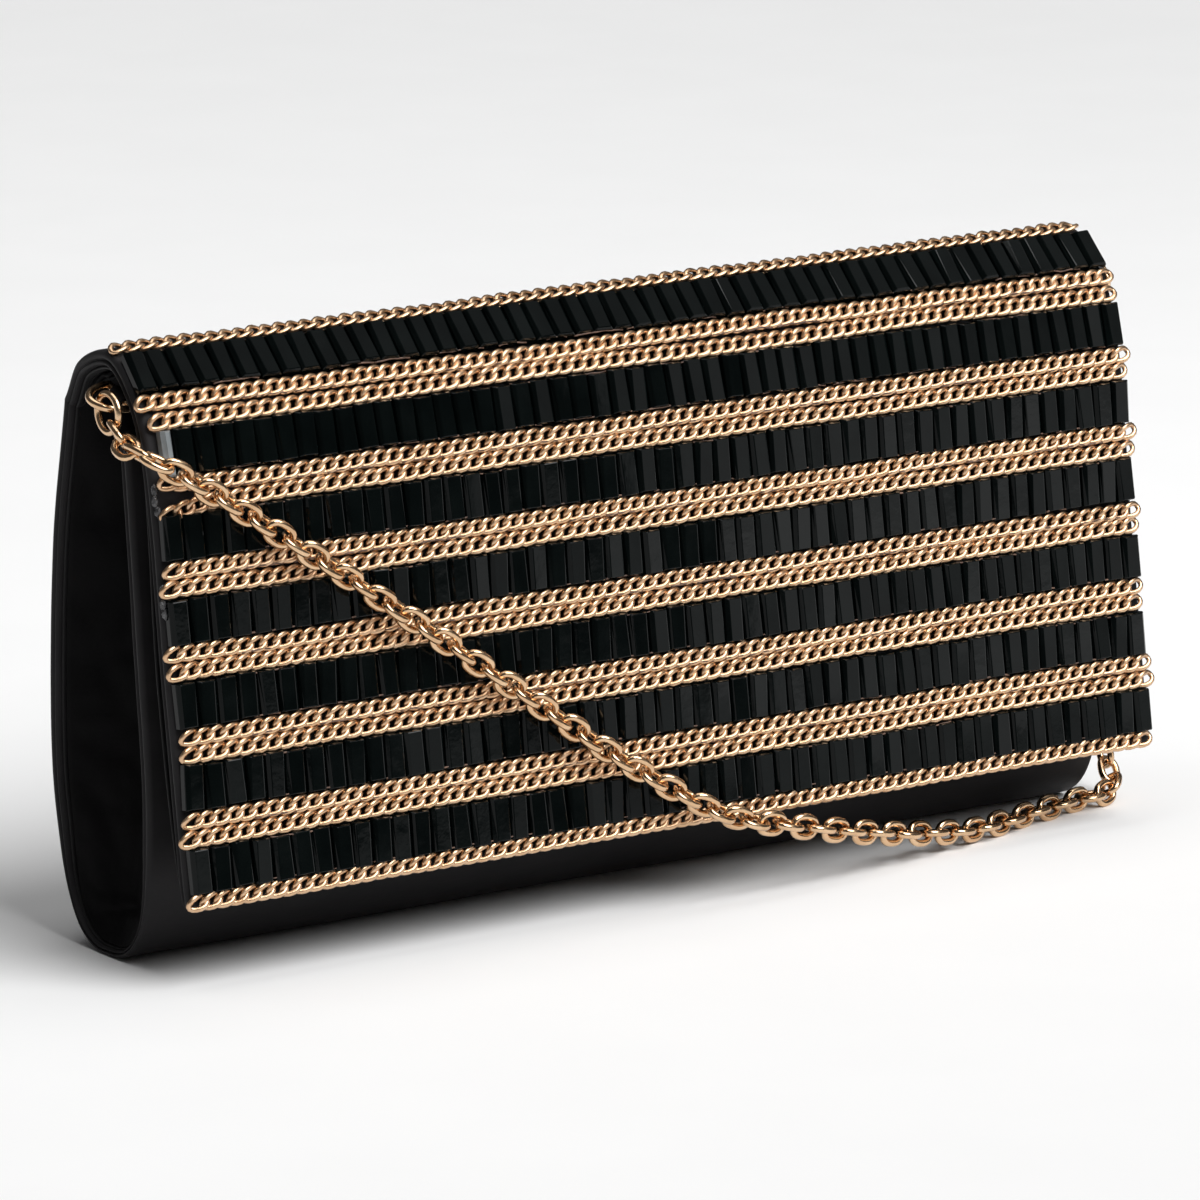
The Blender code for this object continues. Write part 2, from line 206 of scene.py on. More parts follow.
# %% [markdown]
# ## Finishes
#
# No real surface is one flat colour. Every finish here is a small node tree: slow noise drifts the colour
# and the roughness in patches, and finer noise raises bumps. Painted textures could do the same, but
# nodes need no files and no unwrapping. The noise is measured in millimetres on the object, so grain
# keeps its real size everywhere.

# %% Finish helper
RAMP_DARK = 0.35
RAMP_LIGHT = 0.68
NOISE_LOW = 0.3
NOISE_HIGH = 0.7
PATCH_DETAIL = 6.0
GRAIN_DETAIL = 3.0
EVEN = (1.0, 1.0, 1.0)


def finish(name, dark, light, rough_low, rough_high, patch, bump_scale, bump_height, stretch=EVEN, **extra):
    """A material that drifts from dark to light; patch and bump_scale count noise cells per millimetre."""
    made = bpy.data.materials.new(name)
    made.use_nodes = True
    nodes, links = made.node_tree.nodes, made.node_tree.links
    shader = nodes["Principled BSDF"]
    place = nodes.new("ShaderNodeTexCoord")
    scale = nodes.new("ShaderNodeMapping")
    scale.inputs["Scale"].default_value = [1.0 / MM * s for s in stretch]
    links.new(place.outputs["Object"], scale.inputs["Vector"])
    patches = nodes.new("ShaderNodeTexNoise")
    patches.inputs["Scale"].default_value = patch
    patches.inputs["Detail"].default_value = PATCH_DETAIL
    links.new(scale.outputs["Vector"], patches.inputs["Vector"])
    colour = nodes.new("ShaderNodeValToRGB")
    colour.color_ramp.elements[0].position = RAMP_DARK
    colour.color_ramp.elements[0].color = (*dark, 1.0)
    colour.color_ramp.elements[1].position = RAMP_LIGHT
    colour.color_ramp.elements[1].color = (*light, 1.0)
    links.new(patches.outputs["Fac"], colour.inputs["Fac"])
    links.new(colour.outputs["Color"], shader.inputs["Base Color"])
    rough = nodes.new("ShaderNodeMapRange")
    rough.inputs["To Min"].default_value = rough_low
    rough.inputs["To Max"].default_value = rough_high
    rough.inputs["From Min"].default_value = NOISE_LOW
    rough.inputs["From Max"].default_value = NOISE_HIGH
    links.new(patches.outputs["Fac"], rough.inputs["Value"])
    links.new(rough.outputs["Result"], shader.inputs["Roughness"])
    grain = nodes.new("ShaderNodeTexNoise")
    grain.inputs["Scale"].default_value = bump_scale
    grain.inputs["Detail"].default_value = GRAIN_DETAIL
    links.new(scale.outputs["Vector"], grain.inputs["Vector"])
    bump = nodes.new("ShaderNodeBump")
    bump.inputs["Strength"].default_value = 1.0
    bump.inputs["Distance"].default_value = bump_height * MM
    links.new(grain.outputs["Fac"], bump.inputs["Height"])
    links.new(bump.outputs["Normal"], shader.inputs["Normal"])
    for socket, value in extra.items():
        shader.inputs[socket.replace("_", " ")].default_value = value
    return made


print("each finish mixes noise between", NOISE_LOW, "and", NOISE_HIGH)

# %% [markdown]
# The purse is covered in near black satin. Its threads run across the wrap, so the noise is stretched
# that way, and its sheen is soft. The real gussets are of the same satin; they look darker than the walls
# only because they lie in shade in their slack folds. Here that shade is painted into a darker copy of the
# satin. The lining is a duller cloth. A woven pattern would show threads that are too fine to see at this
# distance.

# %% Satin and lining
satin = finish(
    "satin", (0.0150, 0.0143, 0.0152), (0.0240, 0.0228, 0.0240), 0.42, 0.58, 0.05, 1.6, 0.04,
    stretch=(0.35, 1.0, 1.0), Sheen_Weight=0.02, Sheen_Roughness=0.4, Specular_IOR_Level=0.10
)
# Painted shade: a darker copy of the satin that stands for the shade the gussets and pleats lie in.
painted_shade_satin = finish(
    "painted_shade_satin", (0.0028, 0.0027, 0.0029), (0.0060, 0.0057, 0.0061), 0.50, 0.66, 0.06, 1.4, 0.05,
    stretch=(1.0, 0.5, 1.0), Sheen_Weight=0.01, Specular_IOR_Level=0.05
)
lining = finish(
    "lining", (0.0045, 0.0042, 0.0047), (0.0085, 0.0080, 0.0088), 0.50, 0.66, 0.12, 2.2, 0.05,
    stretch=(1.0, 0.4, 1.0), Sheen_Weight=0.04, Specular_IOR_Level=0.2
)
print("cloths:", satin.name, painted_shade_satin.name, lining.name)

# %% [markdown]
# The stones are moulded acrylic: deep black with a faint green cast and almost a mirror. Moulded faces
# are never quite flat, so wide, shallow bumps bend each reflection a little. One odd stone in the second
# row is pale.

# %% Acrylic
acrylic = finish(
    "black_acrylic", (0.0010, 0.0019, 0.0019), (0.0022, 0.0036, 0.0035), 0.05, 0.10, 0.10, 0.24, 0.022,
    IOR=1.49, Specular_IOR_Level=0.16
)
pale_acrylic = finish(
    "pale_acrylic", (0.20, 0.22, 0.23), (0.30, 0.32, 0.33), 0.10, 0.24, 0.2, 0.3, 0.05
)
print("stones:", acrylic.name, pale_acrylic.name)

# %% [markdown]
# The chains are plated in pale rose gold. The curb chains have a softer gleam than the strap. A thin coat
# over the metal adds the small white glints of polished plate. The snap is a yellower plated steel.

# %% Metals
rose_gold = finish(
    "rose_gold", (0.63, 0.39, 0.215), (0.75, 0.515, 0.325), 0.29, 0.40, 0.35, 1.4, 0.03,
    Metallic=1.0, Coat_Weight=0.5, Coat_Roughness=0.18
)
strap_gold = finish(
    "strap_gold", (0.66, 0.42, 0.235), (0.80, 0.555, 0.34), 0.14, 0.24, 0.30, 1.0, 0.025,
    Metallic=1.0, Coat_Weight=0.25, Coat_Roughness=0.12
)
snap_steel = finish(
    "snap_steel", (0.72, 0.60, 0.38), (0.84, 0.71, 0.47), 0.24, 0.40, 0.5, 2.0, 0.03, Metallic=1.0
)
print("metals:", rose_gold.name, strap_gold.name, snap_steel.name)

# %% [markdown]
# Brown fibres and a clear glue are what is left of the handwork. The glue lets some light through.

# %% Thread and glue
brown_thread = finish(
    "brown_thread", (0.060, 0.030, 0.020), (0.20, 0.115, 0.078), 0.35, 0.60, 0.6, 3.0, 0.08
)
glue = finish(
    "glue", (0.03, 0.03, 0.032), (0.16, 0.16, 0.165), 0.08, 0.30, 0.8, 1.5, 0.15,
    Transmission_Weight=0.35, IOR=1.45
)
print("finishes made:", len(bpy.data.materials))

# %% [markdown]
# ## The chain strap
#
# The strap is a cable chain of oval links. It leaves the left ring, crosses the stone rows down to the
# lower right corner, rests on the table and climbs the right side to the right ring. A rigid body
# simulation could lay the links down, but it would not lay them where this strap lies. So its route is a
# short list of given points, with a smooth line through them, and the links are spaced along that line.
# Each link is turned a quarter turn from the one before it, and the whole chain rolls over as it comes off
# the flap.

# %% Strap route and links
STRAP_ROUTE = [
    (-128.0, -7.2, 111.4), (-128.4, -12.2, 110.6), (-126.8, -17.8, 109.2), (-121.0, -19.2, 105.8),
    (-100.9, -20.9, 92.6), (-73.7, -23.8, 73.6), (-43.6, -27.1, 51.8), (-15.2, -30.1, 31.6),
    (6.0, -32.3, 19.4), (24.0, -32.0, 14.4), (42.0, -29.8, 10.0), (60.0, -26.0, 6.2),
    (80.0, -21.2, 3.2), (102.0, -14.8, 2.7), (117.0, -11.4, 2.7), (126.0, -10.0, 2.9),
    (130.6, -4.6, 5.6), (131.6, 0.4, 15.0), (131.0, 2.4, 40.0), (130.2, 1.8, 70.0),
    (129.2, 0.2, 95.0), (127.8, -1.4, 111.0),
]
LINK_LENGTH = 7.9
LINK_WIDTH = 6.0
LINK_WIRE = 1.6
LINK_PITCH = 4.65
START_PAST_RING = 5.6
FIRST_ROLL = math.radians(38.0)
LAST_ROLL = math.radians(2.0)
ROLL_CHANGES_FROM = -5.0
ROLL_CHANGES_OVER = 50.0
ROLL_PLAY = 9.0
# A link's roll is measured from straight out of the flap, or sideways where the line runs steeply back.
STEEP = 0.9
OUT_OF_FLAP = (0.0, -1.0, 0.15)
SIDEWAYS = (1.0, 0.0, 0.0)


def ring_middle(node):
    """The middle of one of the frame's parts, in millimetres."""
    low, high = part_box(node)
    return np.array((low + high) / 2) / MM


def stretched_ring(length, width, wire, points=20, sides=8, squareness=0.8):
    """An oval link in the plane of its length (X) and width (Y)."""
    angles = np.linspace(0.0, 2 * math.pi, points, endpoint=False)
    x = (length - wire) / 2 * np.sign(np.cos(angles)) * np.abs(np.cos(angles)) ** squareness
    y = (width - wire) / 2 * np.sign(np.sin(angles)) * np.abs(np.sin(angles)) ** squareness
    return wire_round(np.stack([x, y, 0 * x], axis=1), wire / 2, sides)


def placed(shape, middle, x_axis, y_axis, z_axis):
    """A copy of a shape, turned to three axes and moved to a middle point."""
    verts, faces = shape
    turned = np.outer(verts[:, 0], x_axis) + np.outer(verts[:, 1], y_axis) + np.outer(verts[:, 2], z_axis)
    return turned + middle, faces


def turned_axes(along, up, roll):
    """Three axes: along a line, across it and out of it, rolled about the line."""
    along = unit(np.array(along, float))
    across = unit(np.cross(np.array(up, float), along))
    out = np.cross(along, across)
    return (
        along,
        math.cos(roll) * across + math.sin(roll) * out,
        math.cos(roll) * out - math.sin(roll) * across,
    )


print("one link is", LINK_LENGTH, "by", LINK_WIDTH, "mm, every", LINK_PITCH, "mm")

# %% Strap
left_ring = ring_middle("jump_ring_left")
first_way = unit(np.array(STRAP_ROUTE[0]) - left_ring)
strap_line = smooth_line([left_ring + first_way * START_PAST_RING] + STRAP_ROUTE)
strap_length = reached(strap_line)[-1]
link_count = int(round(strap_length / LINK_PITCH))
link_middles = places_on(strap_line, np.linspace(0.0, strap_length, link_count + 1))
link_ways = unit(np.gradient(link_middles, axis=0))

random.seed(11)
one_link = stretched_ring(LINK_LENGTH, LINK_WIDTH, LINK_WIRE)
links = []
for i, (middle, way) in enumerate(zip(link_middles, link_ways)):
    rolled_over = min(1.0, max(0.0, (middle[0] - ROLL_CHANGES_FROM) / ROLL_CHANGES_OVER))
    base_roll = FIRST_ROLL + (LAST_ROLL - FIRST_ROLL) * rolled_over
    roll = base_roll + (i % 2) * math.pi / 2 + math.radians(random.uniform(-ROLL_PLAY, ROLL_PLAY))
    up = OUT_OF_FLAP if abs(way[1]) < STEEP else SIDEWAYS
    links.append(placed(one_link, middle, *turned_axes(way, up, roll)))
strap = piece("strap_links", many(links), strap_gold, "strap", ["strap_chain"])
print("strap length", round(strap_length, 1), "mm with", len(links), "links")

# %% [markdown]
# A round jump ring joins each end of the strap to its D ring. A torus would do, but the wire helper is
# already here. The strap is a limp cord from ring to ring.

# %% Jump rings
JUMP_RING_WIRE = 1.6
for side_name in ("left", "right"):
    node = f"jump_ring_{side_name}"
    low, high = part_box(node)
    radius = (high.z - low.z) / MM / 2 - JUMP_RING_WIRE / 2
    angles = np.linspace(0.0, 2 * math.pi, 40, endpoint=False)
    circle = np.stack([0 * angles, np.cos(angles) * radius, np.sin(angles) * radius], axis=1)
    ring = wire_round(circle + ring_middle(node), JUMP_RING_WIRE / 2, 12, up=SIDEWAYS)
    piece(f"round_ring_{side_name}", ring, strap_gold, "strap", [node])
print("jump rings at", [tuple(np.round(ring_middle(f"jump_ring_{s}"), 1)) for s in ("left", "right")])

# %% [markdown]
# ## The wrap
#
# One long satin-covered board makes the front, the bottom, the back, the rounded top and the flap. Its
# side outline is a short list of (depth, height) pairs: they follow the frame's, but with the narrow
# rounded bottom of the real purse. The case part rides on the case. The flap part begins at the fold.
# Cloth that is glued to board cannot move, so it is shaped directly and not simulated.

# %% Side outlines
CASE_OUTLINE = [
    (-2.8, 112.5), (-6.6, 72.0), (-9.9, 36.0), (-9.0, 18.0), (-7.2, 10.6), (-3.9, 4.8),
    (0.6, 1.2), (5.6, 0.0), (10.6, 0.0), (15.4, 1.5), (19.6, 5.0), (24.0, 13.0),
    (28.4, 31.0), (29.4, 50.0), (27.2, 86.0), (22.0, 115.5),
]
FLAP_OUTLINE = [
    (22.0, 115.5), (14.9, 124.6), (2.7, 128.2), (-6.2, 121.8), (-12.0, 110.5), (-19.2, 64.0), (-26.2, 16.6),
]
COVER_DEPTH = 3.3
LINING_DEPTH = 3.45
WALL_DEPTH = 4.1
case_line = smooth_line(CASE_OUTLINE)
case_line[:, 1] = np.maximum(case_line[:, 1], 0.0)
flap_line = smooth_line(FLAP_OUTLINE)
case_length = reached(case_line)[-1]
flap_length = reached(flap_line)[-1]
wrap_line = np.vstack([case_line, flap_line[1:]])
print("wrap", round(case_length, 1), "mm of case and", round(flap_length, 1), "mm of flap")

# %% [markdown]
# Board and satin are measured inward from that outline. Round the bottom the board is skived thin so that
# it can bend, and satin never lies quite true, so slow and fine noise lift it a little everywhere.

# %% Thickness and ripples
INWARD_REACH = 2.0
SKIVED_SHARE = 0.48
SKIVED_BELOW = 2.0
SKIVED_RISE = 26.0
SLOW_RIPPLE = 0.22
FINE_RIPPLE = 0.07


def inward_at(distances):
    """Unit (depth, height) directions to the inner side of the wrap, evened out over a few millimetres."""
    total = case_length + flap_length
    before = places_on(wrap_line, np.clip(distances - INWARD_REACH, 0.0, total))
    after = places_on(wrap_line, np.clip(distances + INWARD_REACH, 0.0, total))
    along = unit(after - before)
    return np.stack([-along[:, 1], along[:, 0]], axis=1)


def eased(share):
    """A share from 0 to 1 that starts and stops gently."""
    return share * share * (3 - 2 * share)


def wall_share(height):
    """The board's thickness at a height as a share of its full thickness."""
    risen = np.clip((height - SKIVED_BELOW) / SKIVED_RISE, 0.0, 1.0)
    return SKIVED_SHARE + (1.0 - SKIVED_SHARE) * eased(risen)


def ripple(x, y, z):
    """How far satin lies out of true over its board, in millimetres."""
    slow = noise.noise(Vector((x * 0.022, y * 0.03, z * 0.03))) * SLOW_RIPPLE
    fine = noise.noise(Vector((x * 0.09 + 7.0, y * 0.11, z * 0.11))) * FINE_RIPPLE
    return slow + fine


print("thickness at the bottom", WALL_DEPTH * SKIVED_SHARE, "mm, and", WALL_DEPTH, "mm higher up")

# %% [markdown]
# A panel is a closed sheet: a loop of points runs across its outer face, round one side edge, back across
# its inner face and round the other edge, and the loop is repeated all along the wrap. A flat plane with
# a Solidify modifier would give square edges. Here the satin's side edges show the two soft beads of
# cloth turned over a board.

# %% Rims and rows
def end_spread(start, end, step, fine):
    """Distances along a panel, closer together at its two ends."""
    middle = np.linspace(start + fine, end - fine, max(2, int((end - start) / step)))
    near = start + fine * (1 - np.cos(np.linspace(0.0, math.pi / 2, 6)))
    far = end - fine * (1 - np.cos(np.linspace(math.pi / 2, 0.0, 6)))
    return np.unique(np.round(np.concatenate([near, middle, far]), 4))


ROUND_RIM = [(-math.cos(a), math.sin(a)) for a in np.linspace(0.0, math.pi, 9)[1:-1]]
TURNED_RIM = [
    (-0.93, 0.42), (-0.78, 0.74), (-0.52, 0.95), (-0.25, 1.0), (0.0, 0.9), (0.14, 0.62), (0.21, 0.46),
    (0.28, 0.60), (0.42, 0.87), (0.6, 0.97), (0.78, 0.86), (0.92, 0.5),
]
ROW_STEP = 1.5
FOLD_ROW_STEP = 0.5
FOLD_ROWS_FROM = 2.0
FOLD_ROWS_TO = 20.0
WIDTH_CHANGE = 16.0
print("rim points:", len(ROUND_RIM), "round,", len(TURNED_RIM), "turned over")


# %% Panel
def panel(
    start, end, width, outer, inner, edge, round_start, round_end,
    corner=2.5, bow=None, columns=56, rim=ROUND_RIM, start_width=None
):
    """A closed sheet of board or cloth along the wrap; rim holds the (level, reach) pairs of its sides."""
    distances = end_spread(start, end, ROW_STEP, (inner - outer) / 2 + 0.2)
    if not round_start:
        fold_rows = np.arange(start + FOLD_ROWS_FROM, start + FOLD_ROWS_TO, FOLD_ROW_STEP)
        distances = np.unique(np.concatenate([distances, fold_rows]))
    points, inwards = places_on(wrap_line, distances), inward_at(distances)
    middle, half = (outer + inner) / 2, (inner - outer) / 2
    spread = np.linspace(-1.0, 1.0, columns)
    verts, loop_size = [], 2 * columns + 2 * len(rim)
    for distance, point, inward in zip(distances, points, inwards):
        squeeze, cut = 1.0, 0.0
        for rounded, away in ((round_start, distance - start), (round_end, end - distance)):
            if rounded:
                squeeze *= math.sqrt(max(0.02, 1 - max(0.0, 1 - away / half) ** 2))
                cut += corner - math.sqrt(max(0.0, corner**2 - max(0.0, corner - away) ** 2))
        grown = min(1.0, (distance - start) / WIDTH_CHANGE)
        narrower = (width - (start_width or width)) * (1 - eased(grown))
        flat = (width - narrower) / 2 - edge - cut
        loop = [(x * flat, -1.0) for x in spread]
        loop += [(flat + edge * reach, level) for level, reach in rim]
        loop += [(x * flat, 1.0) for x in spread[::-1]]
        loop += [(-flat - edge * reach, level) for level, reach in rim[::-1]]
        for x, level in loop:
            depth = middle + half * level * squeeze
            if bow:
                depth += bow(x, distance)
            y, z = point + inward * depth * wall_share(point[1])
            lift = ripple(x, y, z)
            verts.append((x, y - inward[0] * lift, z - inward[1] * lift))
    faces = []
    for i in range(len(distances) - 1):
        here, there = i * loop_size, (i + 1) * loop_size
        for k in range(loop_size):
            n = (k + 1) % loop_size
            faces.append((here + k, here + n, there + n, there + k))
    for base in (0, (len(distances) - 1) * loop_size):
        for k in range(columns - 1):
            partner = 2 * columns + len(rim) - 1 - k
            faces.append((base + k, base + k + 1, base + partner - 1, base + partner))
        right = [base + k for k in range(columns - 1, columns + len(rim) + 1)]
        left = [base + k for k in range(2 * columns + len(rim) - 1, loop_size)] + [base]
        faces += [tuple(right), tuple(left)]
    return np.array(verts), faces


# %% Case and flap covers
CASE_WIDTH = (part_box("case_cover")[1].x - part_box("case_cover")[0].x) / MM
FLAP_WIDTH = (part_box("flap_cover")[1].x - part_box("flap_cover")[0].x) / MM
FOLD = case_length
FLAP_END = case_length + flap_length
SATIN_EDGE = 1.2

case_satin = piece(
    "case_satin", panel(0.0, FOLD, CASE_WIDTH, 0.0, COVER_DEPTH, SATIN_EDGE, True, False, rim=TURNED_RIM),
    satin, "case", ["case_cover", "case_board", "case_snap_washer"]
)
flap_satin = piece(
    "flap_satin",
    panel(FOLD, FLAP_END, FLAP_WIDTH, 0.0, COVER_DEPTH, SATIN_EDGE, False, True,
          rim=TURNED_RIM, start_width=CASE_WIDTH),
    satin, None, ["flap_cover", "flap_board", "flap_snap_washer"]
)
print("satin faces", len(case_satin.data.polygons) + len(flap_satin.data.polygons))

# %% [markdown]
# The linings are thin cloths inside the covers. On the flap the lining bows off its board on both sides
# of the snap, which holds it down. Both of the flap's cloths begin at the fold.

# %% Linings and fold
LINING_INSET = 1.1
LINING_EDGE = 0.35
LINING_CORNER = 4.0
CASE_LINING_START = 0.4
FLAP_LINING_STOP = 1.6
BOW_LENGTH = 96.0
BOW_DEPTH = 2.5
BOW_HELD_WITHIN = 30.0
BOW_WIDTH = 60.0
lining_width = CASE_WIDTH - 2 * LINING_INSET

piece(
    "case_lining_cloth",
    panel(CASE_LINING_START, FOLD, lining_width, LINING_DEPTH, WALL_DEPTH, LINING_EDGE, True, False),
    lining, "case", ["case_lining"]
)


def flap_bow(x, distance):
    """How far the flap's lining stands off its board at a place."""
    up = (FLAP_END - distance) / BOW_LENGTH
    if not 0.0 < up < 1.0:
        return 0.0
    aside = min(1.0, max(0.0, (abs(x) - BOW_HELD_WITHIN) / BOW_WIDTH))
    return BOW_DEPTH * math.sin(math.pi * up**0.8) ** 0.9 * eased(aside)


flap_cloth = piece(
    "flap_lining_cloth",
    panel(FOLD, FLAP_END - FLAP_LINING_STOP, FLAP_WIDTH - 2 * LINING_INSET, LINING_DEPTH, WALL_DEPTH,
          LINING_EDGE, False, True, corner=LINING_CORNER, bow=flap_bow, start_width=lining_width),
    lining, None, ["flap_lining"]
)
for cloth in (flap_satin, flap_cloth):
    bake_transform(cloth)

# %% [markdown]
# ## Gussets
#
# A folded satin gusset closes each side. It is fixed along the walls and the bottom and free along its
# top, and it falls into a fold that points into the purse. It could be simulated from a flat sheet, but a
# sheet pressed between two walls folds differently each time a setting changes. So the fold is shaped
# first, as a grid of points. Blender's cloth simulation then lets the slack settle for a moment, held to
# a small distance. A second cloth, the lining's own gusset, lies inside it.

# %% Gusset shape
GUSSET_EDGE_X = 121.5
GUSSET_FOLD_DEPTH = 16.0
GUSSET_BOTTOM_FOLD = 5.0
GUSSET_LEDGE_FRONT = 8.5
GUSSET_LEDGE_BACK = 4.0
GUSSET_TOP = 111.0
GUSSET_BACK_RISE = 7.0
GUSSET_ROWS = 54
GUSSET_COLUMNS = 25
inner_distances = np.linspace(0.0, case_length, 300)
inner_case = places_on(case_line, inner_distances)
inner_case = inner_case + inward_at(inner_distances) * WALL_DEPTH * wall_share(inner_case[:, 1:])
GUSSET_BOTTOM = inner_case[:, 1].min() + 0.3


def walls_at(height):
    """Depths of the front and back walls' inner faces at a height."""
    lowest = int(np.argmin(inner_case[:, 1]))
    front, back = inner_case[:lowest], inner_case[lowest:]
    order = np.argsort(front[:, 1])
    front_depth = np.interp(height, front[order, 1], front[order, 0])
    order = np.argsort(back[:, 1])
    return front_depth, np.interp(height, back[order, 1], back[order, 0])


print("gusset from", round(float(GUSSET_BOTTOM), 1), "to", GUSSET_TOP, "mm up")


# %% Gusset grid
def gusset_grid(side, inset, bottom, clearance):
    """A folded sheet between the walls, set in from the side edge and clear of the walls."""
    verts, faces = [], []
    for row in range(GUSSET_ROWS):
        share = row / (GUSSET_ROWS - 1)
        height = bottom + (GUSSET_TOP - bottom) * share**1.5
        front, back = walls_at(height)
        opened = math.sin(min(1.0, share * 1.3) * math.pi / 2) ** 2
        fold = GUSSET_BOTTOM_FOLD + (GUSSET_FOLD_DEPTH - GUSSET_BOTTOM_FOLD) * opened
        for column in range(GUSSET_COLUMNS):
            across = column / (GUSSET_COLUMNS - 1)
            depth = front + clearance + (back - front - 2 * clearance) * across
            ledge = GUSSET_LEDGE_FRONT + (GUSSET_LEDGE_BACK - GUSSET_LEDGE_FRONT) * across
            sunk = fold * min(1.0, (height - bottom) / ledge)
            reach = GUSSET_EDGE_X - inset - sunk * (1.0 - abs(2 * across - 1.0) ** 1.6)
            crease = noise.noise(Vector((depth * 0.35, height * 0.10, side * 3.0))) * share**3 * 1.2
            lifted = height + GUSSET_BACK_RISE * share**4 * across * across
            verts.append((side * (reach + crease * math.sin(across * math.pi)), depth, lifted))
    for i in range(GUSSET_ROWS - 1):
        for k in range(GUSSET_COLUMNS - 1):
            a = i * GUSSET_COLUMNS + k
            faces.append((a, a + 1, a + GUSSET_COLUMNS + 1, a + GUSSET_COLUMNS))
    return np.array(verts), faces


print("gusset grid", GUSSET_ROWS, "by", GUSSET_COLUMNS, "points")

# %% [markdown]
# The sides and the bottom of the sheet are held, as the seams hold them. Weak gravity and a little extra
# cloth make the rest sag. Left alone, the cloth moves 7 or 8 mm, which is more slack than the real
# gussets show, so each point's movement is scaled back to less than 2 mm. The shape is then read back and
# the simulation removed, so that nothing is left to play.

# %% Settling
SETTLE_FRAMES = 22
SLACK_PULL = 0.5
SLACK_SHARE = 0.015
MOST_MOVED = 2.0


def let_fall(cloth):
    """Let a sheet settle with its sides and bottom held; no point ends far from its start."""
    start = np.array([v.co for v in cloth.data.vertices])
    held = cloth.vertex_groups.new(name="held")
    side_columns = (0, GUSSET_COLUMNS - 1)
    points = range(GUSSET_ROWS * GUSSET_COLUMNS)
    edge = [i for i in points if i % GUSSET_COLUMNS in side_columns or i < GUSSET_COLUMNS]
    held.add(edge, 1.0, "REPLACE")
    fall = cloth.modifiers.new("fall", "CLOTH")
    fall.settings.quality = 8
    fall.settings.mass = 0.01
    fall.settings.tension_stiffness = 12.0
    fall.settings.compression_stiffness = 12.0
    fall.settings.bending_stiffness = 0.05
    fall.settings.shrink_min = -SLACK_SHARE
    fall.settings.effector_weights.gravity = SLACK_PULL
    fall.settings.vertex_group_mass = "held"
    fall.collision_settings.use_collision = False
    fall.point_cache.frame_end = SETTLE_FRAMES
    for frame_number in range(1, SETTLE_FRAMES + 1):
        bpy.context.scene.frame_set(frame_number)
    settled = cloth.evaluated_get(bpy.context.evaluated_depsgraph_get())
    moved = np.array([v.co for v in settled.data.vertices]) - start
    far = np.linalg.norm(moved, axis=1, keepdims=True)
    most = MOST_MOVED * MM
    kept = start + moved * (most * np.tanh(far / most) / np.maximum(far, 1e-9))
    cloth.modifiers.remove(fall)
    cloth.vertex_groups.remove(held)
    cloth.data.vertices.foreach_set("co", kept.ravel())
    cloth.data.update()
    bpy.context.scene.frame_set(1)
    return float(far.max() / MM)


def thick(sheet, thickness):
    """Give a sheet a thickness on both sides and round it off."""
    shell = sheet.modifiers.new("thickness", "SOLIDIFY")
    shell.thickness = thickness * MM
    shell.offset = 0.0
    rounder = sheet.modifiers.new("rounder", "SUBSURF")
    rounder.levels = 1
    rounder.render_levels = 1


print("settling lasts", SETTLE_FRAMES, "frames and moves a point", MOST_MOVED, "mm at most")

# %% Gussets
SIDES = (("left", -1), ("right", 1))
GUSSET_SATIN_INSET = -0.9
GUSSET_SATIN_CLEARANCE = 0.35
GUSSET_SATIN_THICKNESS = 0.6
GUSSET_LINING_INSET = 3.4
GUSSET_LINING_CLEARANCE = 1.6
GUSSET_LINING_THICKNESS = 0.4
GUSSET_LINING_BOTTOM = GUSSET_BOTTOM + 2.5
for side_name, side in SIDES:
    # The outer gusset takes the darker satin: painted shade for the shade between the walls.
    outer = piece(
        f"gusset_satin_{side_name}",
        gusset_grid(side, GUSSET_SATIN_INSET, GUSSET_BOTTOM, GUSSET_SATIN_CLEARANCE),
        painted_shade_satin, None, [f"gusset_{side_name}"]
    )
    print(side_name, "gusset moved up to", round(let_fall(outer), 2), "mm before it was held back")
    thick(outer, GUSSET_SATIN_THICKNESS)
    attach(outer, "case")
    inside = piece(
        f"gusset_lining_cloth_{side_name}",
        gusset_grid(side, GUSSET_LINING_INSET, GUSSET_LINING_BOTTOM, GUSSET_LINING_CLEARANCE),
        lining, None, [f"gusset_lining_{side_name}"]
    )
    thick(inside, GUSSET_LINING_THICKNESS)
    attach(inside, "case")
print("gussets", len(SIDES), "of satin and", len(SIDES), "of lining")

# %% [markdown]
# Under the fold the slack satin bunches into a few small pleats that follow the arch. They are too thin
# for the grid above, so each is a tapered roll of satin along the wrap, wandering a little.

# %% Pleats under the fold
# Each pleat is (depth inward, distance from the middle of the purse, radius).
PLEATS = [(4.2, 121.9, 0.45), (4.9, 121.1, 0.55), (5.6, 120.2, 0.5)]
PLEATS_FROM = 2.0
PLEATS_TO = 25.0
for side_name, side in SIDES:
    pleats = []
    for depth, reach, radius in PLEATS:
        along = np.linspace(FOLD + PLEATS_FROM, FOLD + PLEATS_TO, 40)
        thin = np.sin(np.linspace(0.05, math.pi - 0.05, len(along)))[:, None] ** 0.6
        wander = np.array([noise.noise(Vector((d * 0.22, depth * 2.0, side * 5.0))) for d in along])
        spots = places_on(wrap_line, along) + inward_at(along) * (depth + wander[:, None] * 0.9)
        line = np.column_stack([side * (reach + wander * 0.8), spots])
        pleats.append(wire_round(line, radius * thin, 8, closed=False, up=SIDEWAYS))
    # The pleats take the same darker satin: painted shade under the fold.
    gathered = piece(f"fold_pleats_{side_name}", many(pleats), painted_shade_satin, None)
    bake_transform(gathered)
print("pleats", len(PLEATS), "a side")

